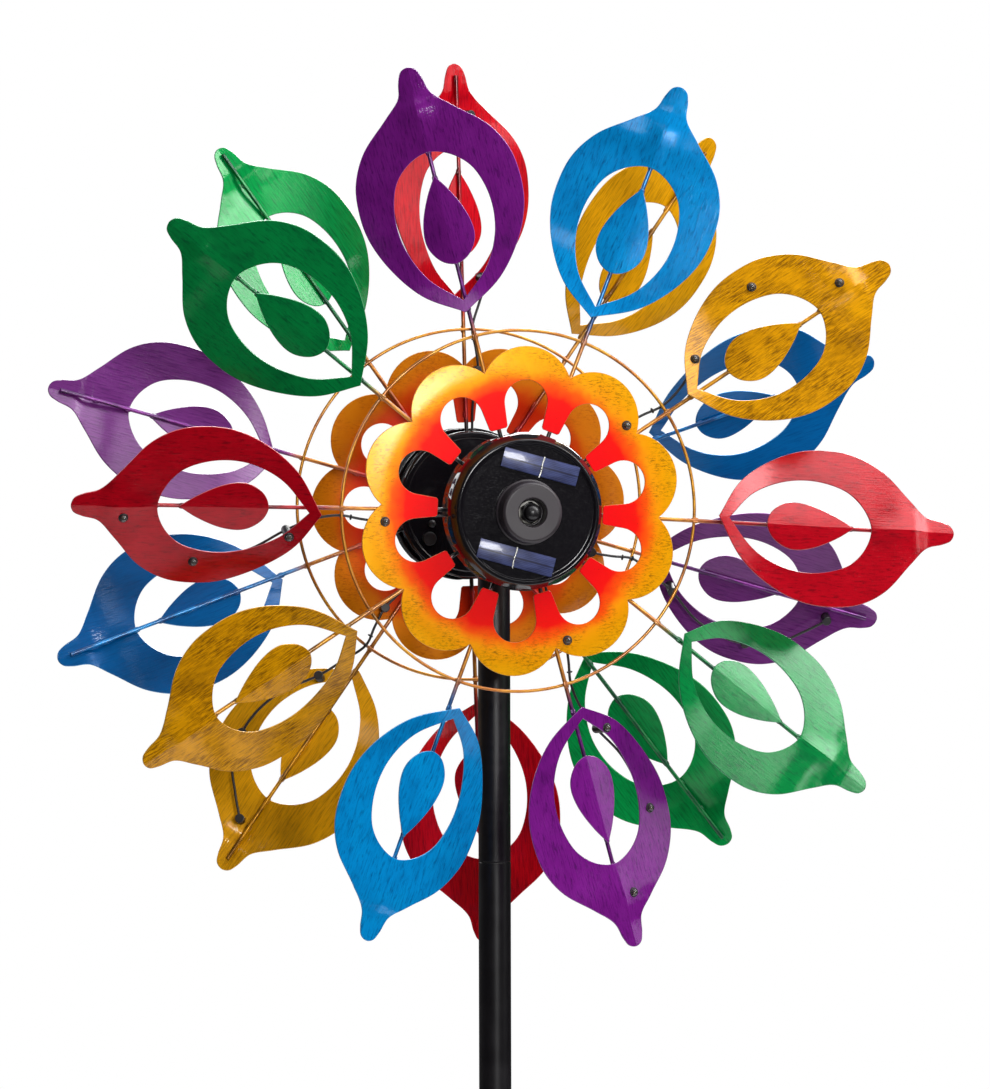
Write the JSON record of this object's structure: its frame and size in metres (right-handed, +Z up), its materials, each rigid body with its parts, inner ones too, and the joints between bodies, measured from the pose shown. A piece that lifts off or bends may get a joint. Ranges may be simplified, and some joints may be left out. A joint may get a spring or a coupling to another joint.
{
  "type": "wind spinner",
  "caption": "Garden wind spinner with counter-rotating petal wheels on a sectional black pole with a pronged ground stake, solar hubs and small lamps.",
  "frame": {"origin": "on the pole's axis at ground level, the height of the step plate's underside; the prongs reach below it", "axes": "+Z up along the pole, -Y towards the viewer of the front wheel, the axle runs along Y, +X to that viewer's right"},
  "size_m": [0.6049, 0.2496, 1.9039],
  "materials": {
    "purple_enamel": "gloss, brushed and antiqued enamel",
    "blue_enamel": "gloss, brushed and antiqued enamel",
    "gold_enamel": "gloss, brushed and antiqued enamel",
    "red_enamel": "gloss, brushed and antiqued enamel",
    "green_enamel": "gloss, brushed and antiqued enamel",
    "amber_red_enamel": "gloss enamel, red at the middle to amber at the rim",
    "copper_wire": "gloss, antiqued copper gold",
    "pole_coat": "satin black powder coat",
    "stake_coat": "satin black powder coat",
    "black_hardware": "semi-gloss black",
    "steel": "turned",
    "nylon": "plain",
    "gloss_black": "moulded gloss",
    "collar_grey": "satin",
    "solar_cell": "encapsulated cell",
    "battery_wrap": "shrink wrap",
    "circuit_board": "solder mask",
    "cable_black": "flexible sheath",
    "button_black": "satin"
  },
  "bodies": {
    "stand": {"ground_stake": "stake_coat", "pole_lower": "pole_coat", "pole_middle": "pole_coat", "pole_head": "pole_coat", "axle": "steel", "front_dome_nut": "black_hardware", "rear_dome_nut": "black_hardware", "front_spacer": "nylon", "rear_spacer": "nylon", "joint_screw_1": "black_hardware", "joint_screw_2": "black_hardware", "joint_screw_3": "black_hardware"},
    "front_wheel": {"front_spoke_frame": "copper_wire", "front_flower": "amber_red_enamel", "front_petal_1_purple": "purple_enamel", "front_petal_2_blue": "blue_enamel", "front_petal_3_gold": "gold_enamel", "front_petal_4_red": "red_enamel", "front_petal_5_green": "green_enamel", "front_petal_6_purple": "purple_enamel", "front_petal_7_blue": "blue_enamel", "front_petal_8_gold": "gold_enamel", "front_petal_9_red": "red_enamel", "front_petal_10_green": "green_enamel", "front_hub_back_cover": "gloss_black", "front_hub_front_shell": "gloss_black", "front_hub_collar": "collar_grey", "front_bearing_sleeve": "nylon", "front_solar_cell_1": "solar_cell", "front_solar_cell_2": "solar_cell", "front_battery": "battery_wrap", "front_circuit_board": "circuit_board", "front_light_string_1": "cable_black", "front_light_string_2": "cable_black", "front_light_string_3": "cable_black"},
    "front_switch": {"front_switch_button": "button_black"},
    "rear_wheel": {"rear_spoke_frame": "copper_wire", "rear_flower": "amber_red_enamel", "rear_petal_1_purple": "purple_enamel", "rear_petal_2_blue": "blue_enamel", "rear_petal_3_gold": "gold_enamel", "rear_petal_4_red": "red_enamel", "rear_petal_5_green": "green_enamel", "rear_petal_6_purple": "purple_enamel", "rear_petal_7_blue": "blue_enamel", "rear_petal_8_gold": "gold_enamel", "rear_petal_9_red": "red_enamel", "rear_petal_10_green": "green_enamel", "rear_hub_back_cover": "gloss_black", "rear_hub_front_shell": "gloss_black", "rear_hub_collar": "collar_grey", "rear_bearing_sleeve": "nylon", "rear_solar_cell_1": "solar_cell", "rear_solar_cell_2": "solar_cell", "rear_battery": "battery_wrap", "rear_circuit_board": "circuit_board", "rear_light_string_1": "cable_black", "rear_light_string_2": "cable_black", "rear_light_string_3": "cable_black"},
    "rear_switch": {"rear_switch_button": "button_black"}
  },
  "joints": [
    {"name": "front_wheel_spin", "type": "hinge", "parent": "stand", "child": "front_wheel", "pos_m": [0, -0.081, 1.42], "axis": [0, -1, 0], "continuous": true},
    {"name": "rear_wheel_spin", "type": "hinge", "parent": "stand", "child": "rear_wheel", "pos_m": [0, 0.081, 1.42], "axis": [0, 1, 0], "continuous": true},
    {"name": "front_switch_press", "type": "slide", "parent": "front_wheel", "child": "front_switch", "axis": [0, -1, 0], "range_m": [0, 0.0015], "stiffness_N_per_m": 250},
    {"name": "rear_switch_press", "type": "slide", "parent": "rear_wheel", "child": "rear_switch", "axis": [0, 1, 0], "range_m": [0, 0.0015], "stiffness_N_per_m": 250}
  ]
}
